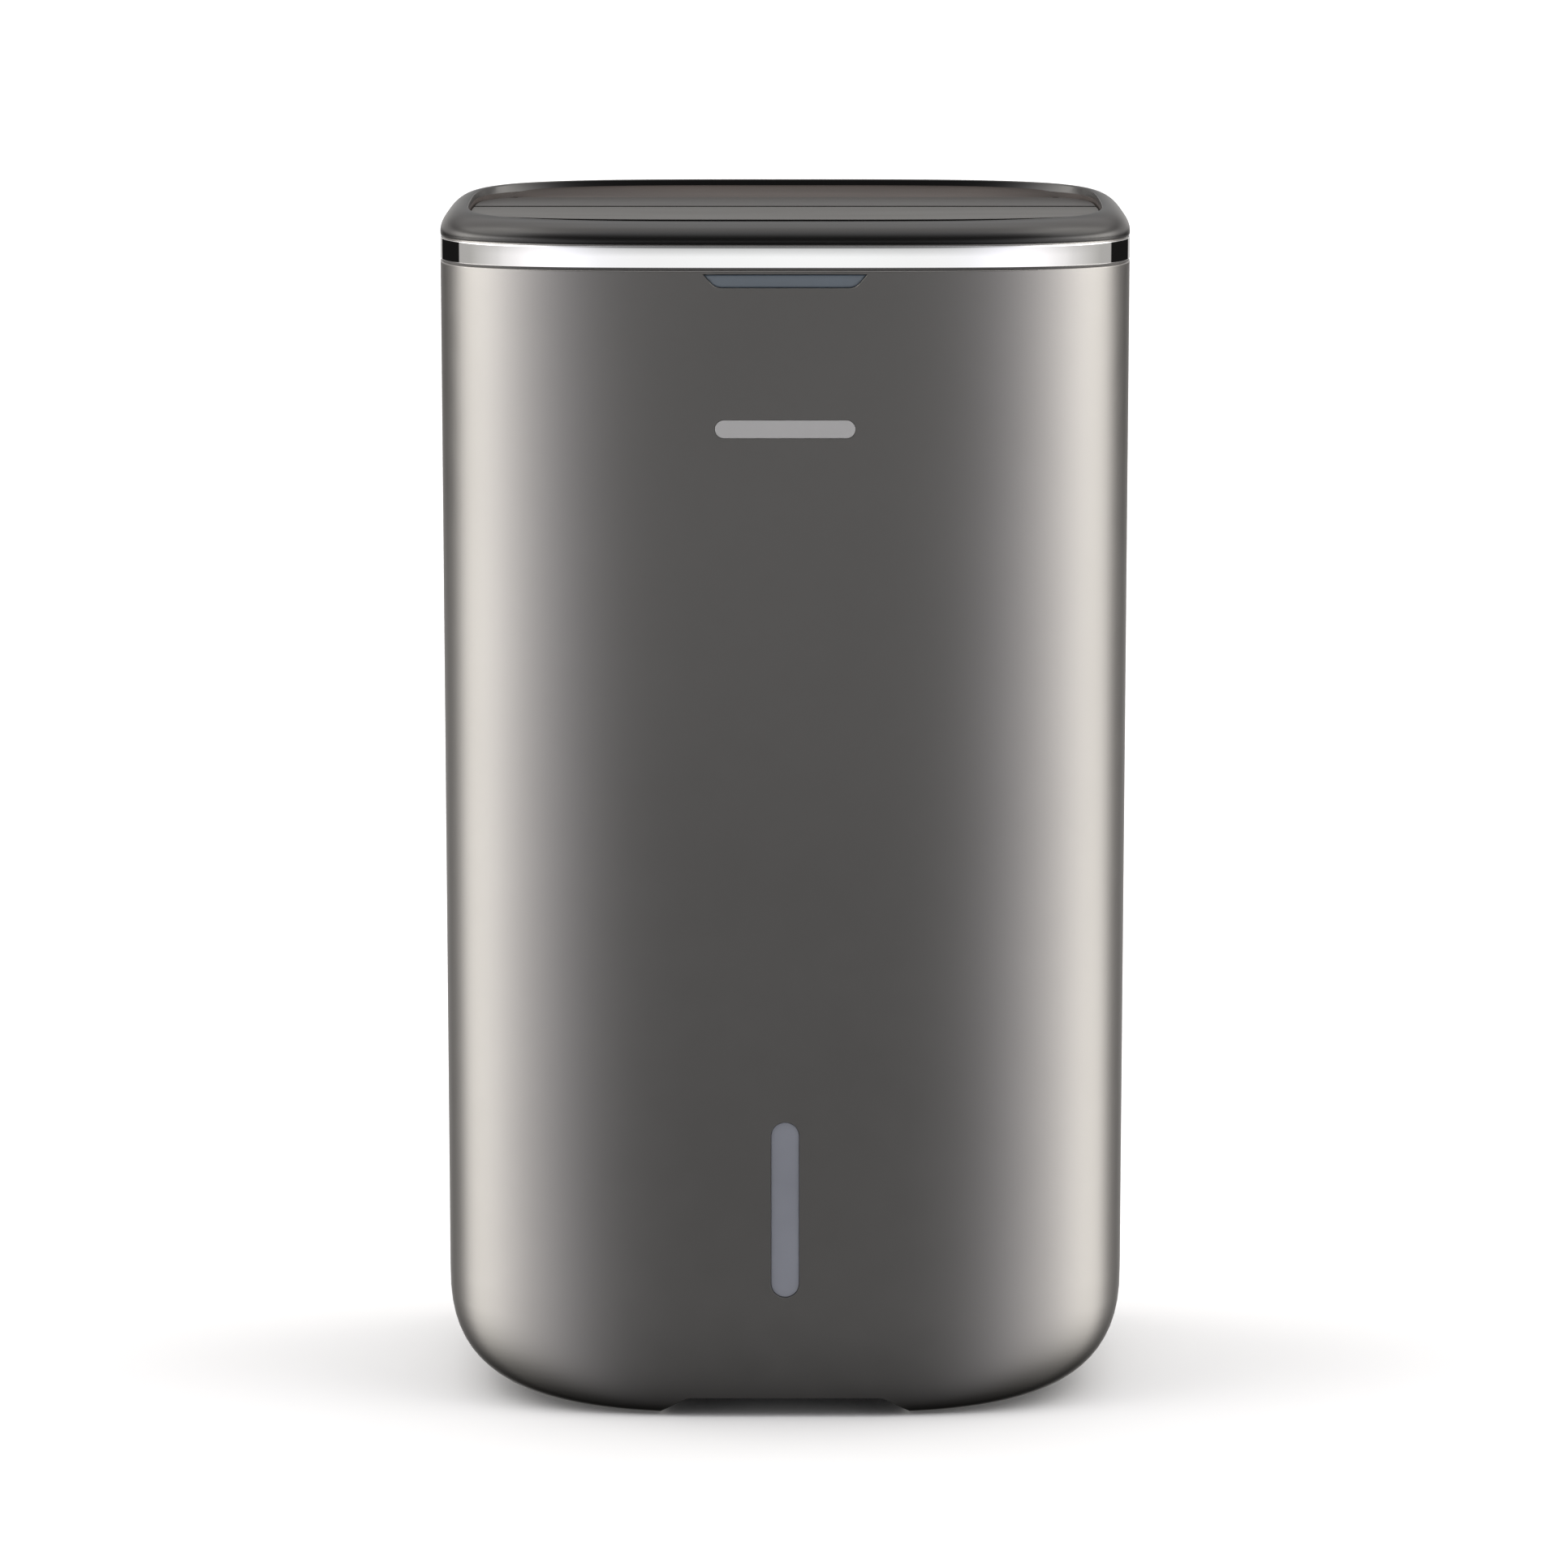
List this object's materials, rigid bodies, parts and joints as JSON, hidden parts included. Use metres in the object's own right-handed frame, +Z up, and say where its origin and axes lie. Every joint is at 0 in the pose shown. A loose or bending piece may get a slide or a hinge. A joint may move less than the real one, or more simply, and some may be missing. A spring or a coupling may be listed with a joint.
{
  "type": "dehumidifier",
  "caption": "Upright compressor dehumidifier with an oval satin grey case, dark rimmed top with an air outlet flap, chrome band, water level window and rear water tank.",
  "frame": {"origin": "on the floor, under the middle of the case's width and depth", "axes": "+X to the right seen from the front, +Y from the front to the back, +Z up"},
  "size_m": [0.33, 0.23, 0.5797],
  "materials": {
    "body_paint": "satin metallic grey",
    "rear_plastic": "fine texture",
    "black_plastic": "fine texture",
    "grey_plastic": "satin",
    "white_plastic": "satin",
    "lid_plastic": "gloss",
    "panel_plastic": "semi-gloss",
    "chrome_trim": "polished",
    "smoked_lens": "gloss",
    "tank_plastic": "clear",
    "filter_fabric": "fine mesh",
    "rubber": "matte",
    "copper": "drawn copper tube",
    "aluminium": "bare",
    "black_steel": "black enamel",
    "plated_steel": "zinc plated",
    "circuit_board": "solder mask"
  },
  "bodies": {
    "case": {"front_shell": "body_paint", "rear_cover": "rear_plastic", "chrome_band": "chrome_trim", "badge_plate": "plated_steel", "indicator_lens": "smoked_lens", "window_lens": "smoked_lens", "base_pan": "black_plastic", "chassis": "grey_plastic", "top_cover": "lid_plastic", "outlet_tray": "black_plastic", "control_panel": "panel_plastic", "outlet_grille": "black_plastic", "flap_motor": "plated_steel", "evaporator_fins": "aluminium", "evaporator_tube": "copper", "condenser_fins": "aluminium", "condenser_tube": "copper", "compressor": "black_steel", "accumulator": "copper", "discharge_pipe": "copper", "suction_pipe": "copper", "capillary_tube": "copper", "drip_tray": "grey_plastic", "fan_housing": "black_plastic", "fan_motor": "plated_steel", "air_duct": "black_plastic", "control_box": "grey_plastic", "main_board": "circuit_board", "run_capacitor": "aluminium", "display_board": "circuit_board", "indicator_board": "circuit_board", "level_switch": "black_plastic", "cord_inlet": "rubber", "foot_1": "rubber", "rear_screw_1": "plated_steel", "foot_2": "rubber", "rear_screw_2": "plated_steel", "foot_3": "rubber", "rear_screw_3": "plated_steel", "foot_4": "rubber", "rear_screw_4": "plated_steel", "compressor_mount_1": "rubber", "compressor_mount_2": "rubber", "compressor_mount_3": "rubber"},
    "flap": {"outlet_flap": "panel_plastic", "flap_hinge_rod": "plated_steel"},
    "flap_drive": {"flap_pinion": "white_plastic"},
    "fan": {"fan_wheel": "grey_plastic", "fan_shaft": "plated_steel"},
    "grille": {"intake_grille": "rear_plastic", "filter_frame": "black_plastic", "filter_mesh": "filter_fabric"},
    "tank": {"tank": "tank_plastic", "tank_lid": "grey_plastic", "tank_fascia": "rear_plastic"},
    "tank_bail": {"tank_handle": "black_plastic"},
    "float": {"float_arm": "grey_plastic", "float_body": "white_plastic", "float_magnet": "black_steel"},
    "drain": {"drain_plug": "rubber"}
  },
  "joints": [
    {"name": "flap_hinge", "type": "hinge", "parent": "case", "child": "flap", "pos_m": [0, 0.072, 0.5694], "axis": [-1, 0, 0], "range_deg": [0, 50]},
    {"name": "flap_drive_spin", "type": "hinge", "parent": "case", "child": "flap_drive", "pos_m": [0, 0.072, 0.5544], "axis": [-1, 0, 0], "range_deg": [-80, 5]},
    {"name": "fan_spin", "type": "hinge", "parent": "case", "child": "fan", "pos_m": [0, 0, 0.41], "axis": [0, 1, 0], "continuous": true},
    {"name": "grille_pull", "type": "slide", "parent": "case", "child": "grille", "axis": [0, 1, 0], "range_m": [0, 0.06]},
    {"name": "tank_slide", "type": "slide", "parent": "case", "child": "tank", "axis": [0, 1, 0], "range_m": [0, 0.24]},
    {"name": "tank_bail_hinge", "type": "hinge", "parent": "tank", "child": "tank_bail", "pos_m": [0, 0.106, 0.142], "axis": [1, 0, 0], "range_deg": [0, 90]},
    {"name": "float_hinge", "type": "hinge", "parent": "tank", "child": "float", "pos_m": [0.08, 0.07, 0.143], "axis": [-1, 0, 0], "range_deg": [0, 14]},
    {"name": "drain_plug_pull", "type": "slide", "parent": "case", "child": "drain", "axis": [0, 1, 0], "range_m": [0, 0.02]}
  ],
  "couplings": [
    {"joint": "flap_drive_spin", "follows": "flap_hinge", "ratio": -1.5}
  ]
}
